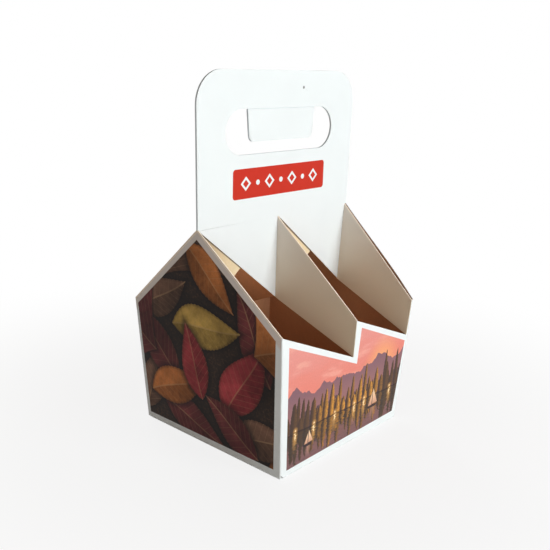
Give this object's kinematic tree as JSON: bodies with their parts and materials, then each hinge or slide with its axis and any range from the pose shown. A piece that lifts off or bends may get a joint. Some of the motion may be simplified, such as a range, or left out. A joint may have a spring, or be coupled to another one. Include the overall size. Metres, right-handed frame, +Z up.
{
  "type": "bottle carrier",
  "caption": "Open folded carton carrier with gabled ends, sawtooth sides, crossed dividers and a tall flat handle with a round-ended hand hole and a hanging flap.",
  "frame": {"origin": "middle of the base, on the surface that the carrier stands on", "axes": "+X along the handle towards the far end panel, +Y across the handle towards the back panel, +Z up"},
  "size_m": [0.1492, 0.1336, 0.24],
  "materials": {
    "carton_board": "matte"
  },
  "bodies": {
    "carrier": {"carrier_sheet": "carton_board"},
    "flap": {"hand_flap": "carton_board"}
  },
  "joints": [
    {"name": "flap_crease", "type": "hinge", "parent": "carrier", "child": "flap", "pos_m": [0, 0, 0.216], "axis": [1, 0, 0], "range_deg": [-90, 90]}
  ]
}
